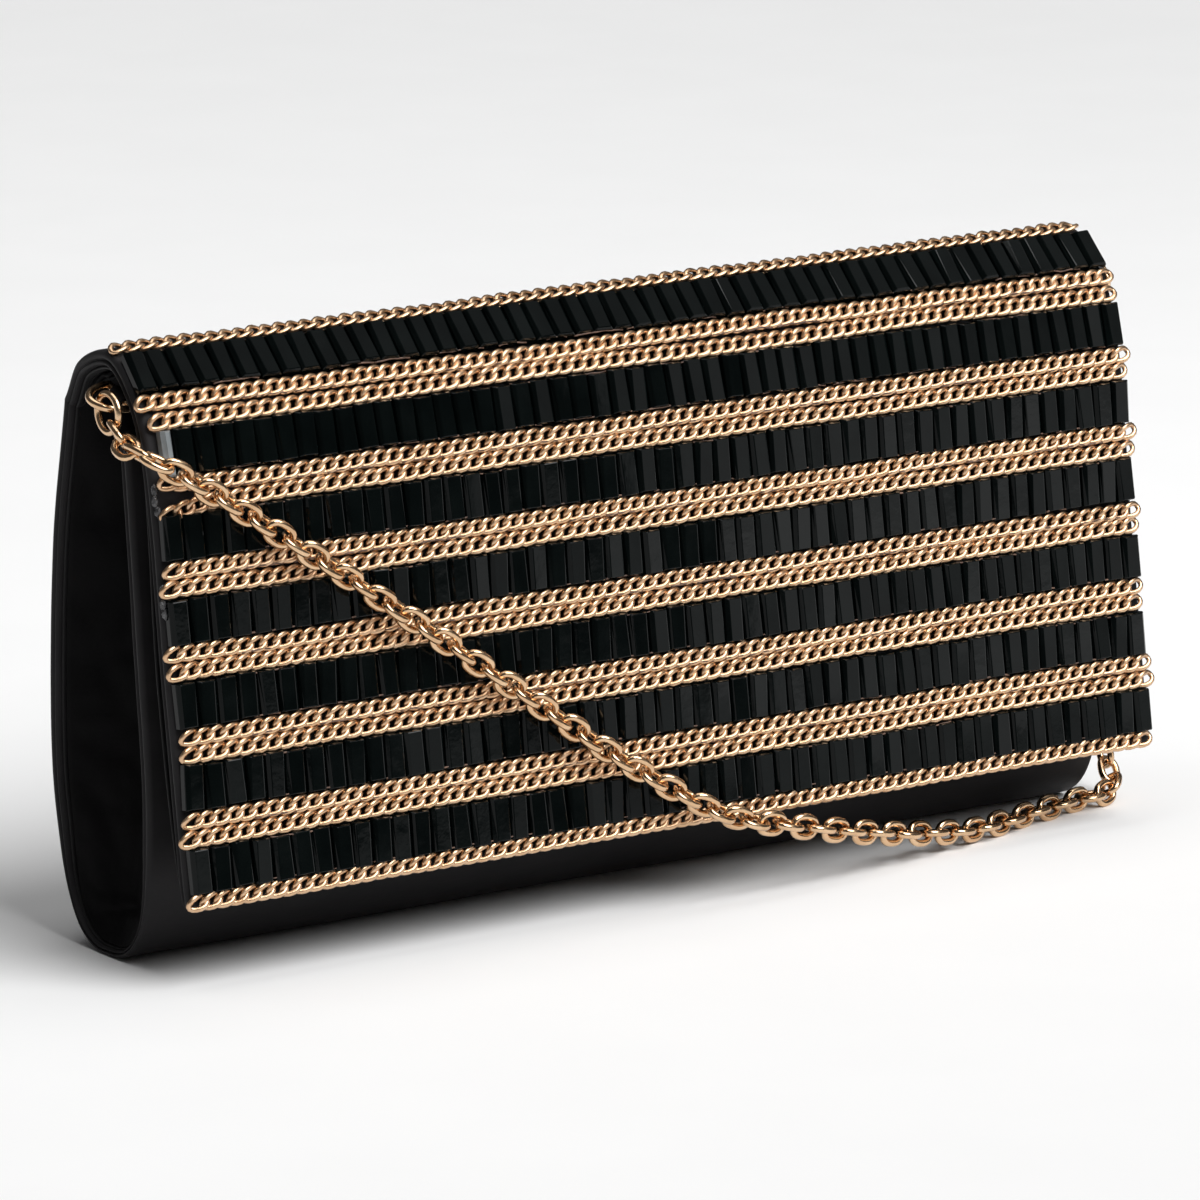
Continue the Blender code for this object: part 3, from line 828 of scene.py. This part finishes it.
# %% [markdown]
# ## Stones
#
# Seven rows of baguette stones are glued across the flap. A stone has a flat table, four sloping facets
# and straight sides. An array modifier would repeat one stone exactly, and the row would read as one
# ribbed strip. A loop makes each stone instead, with its own width, tilt and skewed table, because no two
# real ones sit alike.

# %% Flap frame
def flap_place(height_up):
    """A point on the flap's face, up from its lower edge, with the directions down it and out of it."""
    distance = np.array([FLAP_END - height_up])
    inward = inward_at(distance)[0]
    point = places_on(wrap_line, distance)[0]
    outward = np.array([0.0, -inward[0], -inward[1]])
    downward = np.cross(outward, np.array([1.0, 0.0, 0.0]))
    if downward[2] > 0:
        downward = -downward
    return np.array([0.0, point[0], point[1]]), downward, outward


print("the flap faces", tuple(np.round(flap_place(60.0)[2], 2)), "at 60 mm up")

# %% One stone
ROW_COUNT = 7
ROW_PITCH = 17.0
FIRST_ROW_HEIGHT = 8.5
TRIM_WIDTH = (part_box("stone_row_3")[1].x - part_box("stone_row_3")[0].x) / MM
STONES_IN_ROW = 51
STONE_LENGTH = 9.45
STONE_HEIGHT = 2.4
STONE_GAP = 0.22
STONE_FACET = 0.74
STONE_END_FACET = 0.3
STONE_FACET_DROP = 0.8
TABLE_SLIDE = 0.16
TABLE_SKEW = 0.17
TABLE_PINCH = 0.12
STONE_LIFT = 0.15
PALE_STONE_WIDTH = 0.55
PALE_STONE_SHIFT = 0.9


def stone(width, length, height):
    """A baguette stone: a box whose top edges slope up to a flat, slightly skewed table."""
    slide = random.uniform(-TABLE_SLIDE, TABLE_SLIDE)
    skew = random.uniform(-TABLE_SKEW, TABLE_SKEW)
    pinch = random.uniform(-TABLE_PINCH, TABLE_PINCH)
    levels = (
        (width, length, 0.0, 0.0, 0.0, 0.0),
        (width, length, height - STONE_FACET_DROP, 0.0, 0.0, 0.0),
        (width - 2 * STONE_FACET, length - 2 * STONE_END_FACET, height, slide, skew, pinch),
    )
    verts = []
    for wide, deep, level, aside, lean, taper in levels:
        near, far = wide / 2 + taper, wide / 2 - taper
        verts += [(aside + lean - near, -deep / 2, level), (aside + lean + near, -deep / 2, level)]
        verts += [(aside - lean + far, deep / 2, level), (aside - lean - far, deep / 2, level)]
    faces = [(3, 2, 1, 0), (8, 9, 10, 11)]
    for base in (0, 4):
        for k in range(4):
            n = (k + 1) % 4
            faces.append((base + k, base + n, base + n + 4, base + k + 4))
    return np.array(verts), faces


print("one stone is", STONE_LENGTH, "mm long and", STONE_HEIGHT, "mm high")

# %% [markdown]
# The stones of a row are joined into one piece, since they never move apart. Thin bevels on their edges
# catch the light as polished edges do. Flat shading keeps every facet crisp.

# %% Stone rows
BEVEL_WIDTH = 0.13
BEVEL_ANGLE = math.radians(20.0)
random.seed(23)
pitch = TRIM_WIDTH / STONES_IN_ROW
across = np.array(SIDEWAYS)
for row in range(ROW_COUNT):
    height_up = FIRST_ROW_HEIGHT + ROW_PITCH * (ROW_COUNT - 1 - row)
    point, downward, outward = flap_place(height_up)
    stones, pale_stones = [], []
    for number in range(STONES_IN_ROW):
        is_pale = row == 1 and number == 0
        width = pitch * (PALE_STONE_WIDTH if is_pale else 1.0) - STONE_GAP * random.uniform(0.5, 1.6)
        shape = stone(width, STONE_LENGTH * random.uniform(0.985, 1.01), STONE_HEIGHT)
        spin, lean, nod = (math.radians(random.gauss(0.0, s)) for s in (1.1, 1.5, 0.8))
        tilt = Matrix.Rotation(spin, 3, "Z") @ Matrix.Rotation(lean, 3, "Y") @ Matrix.Rotation(nod, 3, "X")
        shape = (shape[0] @ np.array(tilt).T, shape[1])
        x = -TRIM_WIDTH / 2 + pitch * (number + 0.5) + random.uniform(-0.12, 0.12)
        x += PALE_STONE_SHIFT if is_pale else 0.0
        middle = point + across * x + downward * random.uniform(-0.2, 0.2) + outward * STONE_LIFT
        target = pale_stones if is_pale else stones
        target.append(placed(shape, middle, across, -downward, outward))
    bar = piece(
        f"stones_{row + 1}", many(stones), acrylic, None, [f"stone_row_{row + 1}"], smooth=False
    )
    edge = bar.modifiers.new("polish", "BEVEL")
    edge.width = BEVEL_WIDTH * MM
    edge.segments = 1
    edge.limit_method = "ANGLE"
    edge.angle_limit = BEVEL_ANGLE
    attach(bar, "flap")
    if pale_stones:
        piece("pale_stone", many(pale_stones), pale_acrylic, "flap", smooth=False)
print("stones", ROW_COUNT * STONES_IN_ROW, "at", round(pitch, 2), "mm")

# %% [markdown]
# ## Curb chains
#
# A curb link is a twisted oval: its wire rises and falls twice on the way round, so neighbours pass
# through each other and still lie flat. A textured strip would look right only from straight ahead, so
# each link is real wire. One chain runs above the first row, a pair between rows and one along the lower
# edge. Their spacing, their small sway and one pair's splayed ends come from hand gluing.

# %% Curb link
CURB_PITCH = 3.16
CURB_WIDTH = 4.0
CURB_WIRE = 1.2
CURB_TWIST = -0.60
CURB_LEAN = -0.42
CURB_FLATNESS = 0.78
CHAIN_PAIR_SPACING = 3.7
TOP_CHAIN_OFFSET = 7.6
LOW_CHAIN_OFFSET = 6.3
CHAIN_LIFT = 1.3
TOP_CHAIN_LIFT = 0.8

around = np.linspace(0.0, 2 * math.pi, 16, endpoint=False)
curb_length = CURB_PITCH + 2 * CURB_WIRE
curb_y = (CURB_WIDTH - CURB_WIRE) / 2 * np.sin(around)
curb_x = (curb_length - CURB_WIRE) / 2 * np.cos(around) + CURB_LEAN * curb_y
curb_z = CURB_TWIST * np.sin(2 * around)
curb_link = wire_round(np.stack([curb_x, curb_y, curb_z], axis=1), CURB_WIRE / 2, 7)
curb_link[0][:, 2] *= CURB_FLATNESS
print("a curb link is", round(curb_length, 2), "by", CURB_WIDTH, "mm")

# %% One chain
CHAIN_SWAY = 0.45
FLARE_WITHIN = 14.0
LINK_TIP = 4.0
LINK_TURN = 1.5


def curb_chain(height_up, seed, flare, lift):
    """A chain across the flap at a height. A flare moves its left end up, or down if it is negative."""
    random.seed(seed)
    point, downward, outward = flap_place(height_up)
    start = -TRIM_WIDTH / 2 + random.uniform(-1.0, 1.4)
    end = TRIM_WIDTH / 2 + random.uniform(-1.4, 1.0)
    count = int(round((end - start) / (CURB_PITCH * random.uniform(0.97, 1.03))))
    step = (end - start) / count
    wander = random.uniform(0.0, 40.0)
    made = []
    for number in range(count):
        x = start + step * (number + 0.5)
        sway = noise.noise(Vector((x * 0.03, wander, 0.0))) * CHAIN_SWAY
        near_start = max(0.0, 1.0 - (x - start) / FLARE_WITHIN)
        middle = point + across * x - downward * (sway + flare * near_start**2) + outward * lift
        tip = math.radians(random.gauss(0.0, LINK_TIP))
        axes = turned_axes(across + downward * math.radians(random.gauss(0.0, LINK_TURN)), outward, tip)
        made.append(placed(curb_link, middle, axes[0], -axes[1], -axes[2]))
    return many(made)


print("chains are", round(TRIM_WIDTH, 1), "mm long, give or take a link")

# %% Chains on the flap
TOP_ROW = FIRST_ROW_HEIGHT + ROW_PITCH * (ROW_COUNT - 1)
chain_heights = [TOP_ROW + TOP_CHAIN_OFFSET]
for pair in range(ROW_COUNT - 1):
    middle_height = TOP_ROW - ROW_PITCH * (pair + 0.5)
    chain_heights += [middle_height + CHAIN_PAIR_SPACING / 2, middle_height - CHAIN_PAIR_SPACING / 2]
chain_heights.append(FIRST_ROW_HEIGHT - LOW_CHAIN_OFFSET)
# The left ends of two chains, by number, bend this far up or down.
FLARES = {4: 1.2, 5: -2.0}
for number, height_up in enumerate(chain_heights, start=1):
    lift = TOP_CHAIN_LIFT if number == 1 else CHAIN_LIFT
    shape = curb_chain(height_up, 100 + number, FLARES.get(number, 0.0), lift)
    piece(f"curb_{number:02d}", shape, rose_gold, "flap", [f"curb_chain_{number:02d}"])
print("chains", len(chain_heights))

# %% [markdown]
# ## Rings and tabs
#
# Each D ring's bar lies in a folded satin tab under the flap's side edge, where it takes the pull of the
# strap. The ring is one bent wire: a straight bar and an arch. The tab is a strip of points folded round
# the bar, and a Solidify modifier gives it the thickness of satin.

# %% D rings and tabs
BAR_CENTRE = (122.6, 1.8, 118.8)
BAR_SLOPE = math.radians(25.0)
D_RING_WIRE = 1.7
D_RING_HALF_WIDTH = 3.6
D_RING_REACH = 6.9
TAB_WIDTH = 4.6
TAB_LENGTH = 8.5
TAB_THICKNESS = 0.6
TAB_CLEARANCE = 0.3
TAB_FOLD_START = 60.0
TAB_FOLD_STEP = 20.0

bar_way = np.array([0.0, -math.cos(BAR_SLOPE), -math.sin(BAR_SLOPE)])
for side_name, side in SIDES:
    middle = np.array([side * BAR_CENTRE[0], BAR_CENTRE[1], BAR_CENTRE[2]])
    outward = np.array([float(side), 0.0, 0.0])
    half = D_RING_HALF_WIDTH + D_RING_WIRE / 2
    bend = np.linspace(0.0, math.pi, 22)
    arch = [middle + bar_way * math.cos(a) * half + outward * math.sin(a) * D_RING_REACH for a in bend]
    d_line = np.array([middle + bar_way * t for t in np.linspace(-half * 0.8, half * 0.8, 6)] + arch)
    ring = wire_round(d_line, D_RING_WIRE / 2, 12, up=np.cross(bar_way, outward))
    piece(f"d_wire_{side_name}", ring, strap_gold, "flap", [f"d_ring_{side_name}"])

    inward = -outward
    upward = np.cross(inward, bar_way) * side
    radius = D_RING_WIRE / 2 + TAB_CLEARANCE
    section = [inward * TAB_LENGTH + upward * TAB_CLEARANCE]
    for i in range(13):
        angle = math.radians(TAB_FOLD_START + TAB_FOLD_STEP * i)
        section.append((inward * math.cos(angle) + upward * math.sin(angle)) * radius)
    section.append(inward * TAB_LENGTH - upward * TAB_CLEARANCE)
    widths = np.linspace(-TAB_WIDTH / 2, TAB_WIDTH / 2, 9)
    verts = [middle + spot + bar_way * w for spot in section for w in widths]
    faces = []
    for i in range(len(section) - 1):
        for k in range(len(widths) - 1):
            a = i * len(widths) + k
            faces.append((a, a + 1, a + len(widths) + 1, a + len(widths)))
    tab = piece(
        f"satin_tab_{side_name}", (np.array(verts), faces), satin, None, [f"ring_tab_{side_name}"]
    )
    thick(tab, TAB_THICKNESS)
    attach(tab, "flap")
print("D rings reach", D_RING_REACH, "mm out of their tabs")

# %% [markdown]
# ## Magnetic snap
#
# A magnetic snap keeps the flap shut: its socket sits on the front wall and its stud inside the flap.
# Both are turned metal, so each is a profile spun round an axis that stands straight out of its wall. A
# Screw modifier spins profiles too, but a few lines of code place the axis exactly.


# %% Snap helpers
def turned_part(profile, middle, normal, count=48):
    """A (radius, height) profile spun round a normal."""
    normal = unit(np.array(normal, float))
    side_way = np.array(SIDEWAYS)
    other = np.cross(normal, side_way)
    verts, faces = [], []
    for radius, height in profile:
        for angle in np.linspace(0.0, 2 * math.pi, count, endpoint=False):
            spoke = side_way * math.cos(angle) + other * math.sin(angle)
            verts.append(middle + normal * height + spoke * radius)
    for i in range(len(profile) - 1):
        for k in range(count):
            n = (k + 1) % count
            faces.append((i * count + k, i * count + n, (i + 1) * count + n, (i + 1) * count + k))
    faces += [tuple(range(count)), tuple((len(profile) - 1) * count + k for k in range(count))]
    return np.array(verts), faces


FRONT_WITHIN = 5.0
LEFT_OUT = 1000.0


def slope_at(line, height):
    """Direction straight out of the front of a line at a height; points behind the front are left out."""
    behind = line[:, 0] > FRONT_WITHIN
    nearest = np.argmin(np.abs(line[:, 1] - height) + LEFT_OUT * behind)
    along = unit(line[nearest + 1] - line[nearest - 1])
    out = np.array([0.0, along[1], -along[0]])
    return out if out[1] < 0 else -out


SOCKET_HEIGHT = 72.0
STUD_HEIGHT = 72.8
socket_way = slope_at(case_line, SOCKET_HEIGHT)
stud_way = slope_at(flap_line, STUD_HEIGHT)
print("socket faces", tuple(np.round(socket_way, 2)), "and stud", tuple(np.round(stud_way, 2)))

# %% Magnetic snap
# Both profiles are (radius, height) pairs.
SOCKET = [
    (0.4, -1.7), (8.2, -1.7), (8.9, -1.2), (9.0, 0.6), (8.6, 1.3), (7.9, 1.65), (7.0, 1.7),
    (6.4, 1.45), (5.8, 1.1), (3.4, 1.1), (3.0, 0.9), (2.9, -0.8), (0.4, -0.9),
]
STUD = [
    (0.4, 1.3), (8.2, 1.3), (8.9, 0.9), (9.0, -0.3), (8.5, -0.8), (7.8, -0.95),
    (6.2, -0.75), (4.2, -0.75), (3.4, -0.95), (2.4, -1.05), (2.0, -1.3), (0.4, -1.3),
]
piece(
    "magnet_socket", turned_part(SOCKET, ring_middle("snap_socket"), socket_way),
    snap_steel, "case", ["snap_socket"]
)
piece(
    "magnet_stud", turned_part(STUD, ring_middle("snap_stud"), stud_way),
    snap_steel, "flap", ["snap_stud"]
)
print("snap at", tuple(np.round(ring_middle("snap_socket"), 1)))

# %% [markdown]
# ## Threads and glue
#
# Handmade trim shows how it was fixed: brown fibres lie along the edges of the chains, and a little clear
# glue has set on the flap's left edge. A hair system could scatter fibres, but these follow the chains.
# So each is a thin wavy wire, laid one after another along an edge with chance gaps between them.

# %% Loose fibres
random.seed(5)
UPPER_GAP = 6.0
LOWER_GAP = 30.0
BARE_ENDS = 14.0
FIBRE_STEP = 0.8
FIBRE_LIFT = 1.75
fibres = []
edges = [(height_up + CURB_WIDTH / 2, 1.0, UPPER_GAP) for height_up in chain_heights[1:]]
edges += [(height_up - CURB_WIDTH / 2, -1.0, LOWER_GAP) for height_up in chain_heights[2::2]]
for edge_height, way, gap in edges:
    point, downward, outward = flap_place(edge_height + way * 0.1)
    x = -TRIM_WIDTH / 2 + random.uniform(BARE_ENDS, 20.0)
    while x < TRIM_WIDTH / 2 - BARE_ENDS:
        length = random.uniform(5.0, 13.0)
        radius = random.uniform(0.13, 0.22)
        spots = []
        for t in np.linspace(0.0, 1.0, int(length / FIBRE_STEP)):
            wave = 0.10 + 0.32 * (0.5 + noise.noise(Vector((x * 0.4 + length * t * 0.35, edge_height, 2.0))))
            wave *= math.sin(math.pi * t) ** 0.5
            lifted = outward * (FIBRE_LIFT + 0.5 * wave)
            spots.append(point + across * (x + length * t) - downward * way * wave + lifted)
        fibres.append(wire_round(spots, radius, 5, closed=False, up=(0.0, 0.0, 1.0)))
        x += length + random.expovariate(1 / gap)
piece("glue_fibres", many(fibres), brown_thread, "flap")
print("fibres", len(fibres))

# %% [markdown]
# Each drop of glue is a small ball, swollen unevenly by noise and pressed flat against the flap.

# %% Glue
# Each spot is (distance across, height up the flap).
GLUE_SPOTS = [(-124.6, 86.6), (-124.8, 84.4), (-124.4, 82.2), (-124.8, 66.0), (-124.9, 63.4), (-124.6, 61.4)]
GLUE_SHAPE = np.array([0.7, 1.25, 0.5])
GLUE_LIFT = 0.35
blobs = []
for x, height_up in GLUE_SPOTS:
    point, downward, outward = flap_place(height_up)
    blob = bmesh.new()
    bmesh.ops.create_icosphere(blob, subdivisions=3, radius=1.0)
    spots = np.array([v.co for v in blob.verts])
    swell = np.array([1.0 + 0.35 * noise.noise(Vector(s) * 1.7 + Vector((x, height_up, 0))) for s in spots])
    spots = spots * swell[:, None] * GLUE_SHAPE
    faces = [tuple(v.index for v in f.verts) for f in blob.faces]
    blob.free()
    blobs.append(placed((spots, faces), point + across * x + outward * GLUE_LIFT, across, downward, outward))
piece("set_glue", many(blobs), glue, "flap")
print("glue spots", len(blobs))

# %% [markdown]
# ## Table and light
#
# The purse stands on a plain pale table, far wider than the view, so that no edge shows. It is lowered by
# a hair's breadth, so that the satin never shares a plane with it.

# %% Floor
floor_paint = finish(
    "pale_table", (0.915, 0.915, 0.915), (0.925, 0.925, 0.925), 0.85, 0.9, 0.02, 0.5, 0.004,
    Specular_IOR_Level=0.1
)
FLOOR_HALF = 4000.0
FLOOR_GAP = 0.05
floor = piece(
    "table_top",
    (np.array([(-1, -1, 0), (1, -1, 0), (1, 1, 0), (-1, 1, 0)]) * FLOOR_HALF, [(0, 1, 2, 3)]),
    floor_paint, smooth=False
)
floor.location.z = -FLOOR_GAP * MM
print("table", 2 * FLOOR_HALF * MM, "m wide")

# %% [markdown]
# A sky image would fill the glossy stones with things that are not there. Instead, one sun with a very
# wide disc lights the table evenly and gives the purse a soft shadow. Three soft rectangular lights are
# there for the reflections: a card at the right turns the nearer facets grey, one above it lights the
# metal, and a box overhead lifts the top of the flap. The surround itself is almost dark, so that black
# stays black.

# %% Lights
SURROUND_STRENGTH = 0.07
SUN_STRENGTH = 3.1
SUN_DISC = math.radians(44.0)
SUN_TILT = (math.radians(37.0), math.radians(17.0), 0.0)
bpy.context.scene.view_settings.view_transform = "Standard"
world = bpy.data.worlds.new("surround")
bpy.context.scene.world = world
world.use_nodes = True
world.node_tree.nodes["Background"].inputs["Color"].default_value = (1.0, 1.0, 1.0, 1.0)
world.node_tree.nodes["Background"].inputs["Strength"].default_value = SURROUND_STRENGTH


def soft_light(name, place, target, size, watts, spread=180.0):
    """A rectangular light at a place, turned to a target; a smaller spread keeps its light off the rest."""
    lamp = bpy.data.lights.new(name, "AREA")
    lamp.spread = math.radians(spread)
    lamp.shape = "RECTANGLE"
    lamp.size, lamp.size_y = size
    lamp.energy = watts
    holder = bpy.data.objects.new(name, lamp)
    holder.location = place
    holder.rotation_euler = (Vector(target) - Vector(place)).to_track_quat("-Z", "Y").to_euler()
    bpy.context.scene.collection.objects.link(holder)
    return holder


sun = bpy.data.lights.new("overhead", "SUN")
sun.energy = SUN_STRENGTH
sun.angle = SUN_DISC
sun_holder = bpy.data.objects.new("overhead", sun)
sun_holder.rotation_euler = SUN_TILT
bpy.context.scene.collection.objects.link(sun_holder)
soft_light("right_card", (0.53, -0.40, 0.235), (0.53, 0.0, 0.235), (0.55, 0.42), 0.55, spread=95.0)
soft_light("upper_card", (0.62, -0.24, 0.95), (0.0, 0.0, 0.12), (0.9, 0.7), 0.7)
soft_light("top_box", (0.0, 0.1, 1.1), (0.0, 0.0, 0.1), (0.9, 0.6), 3.0)
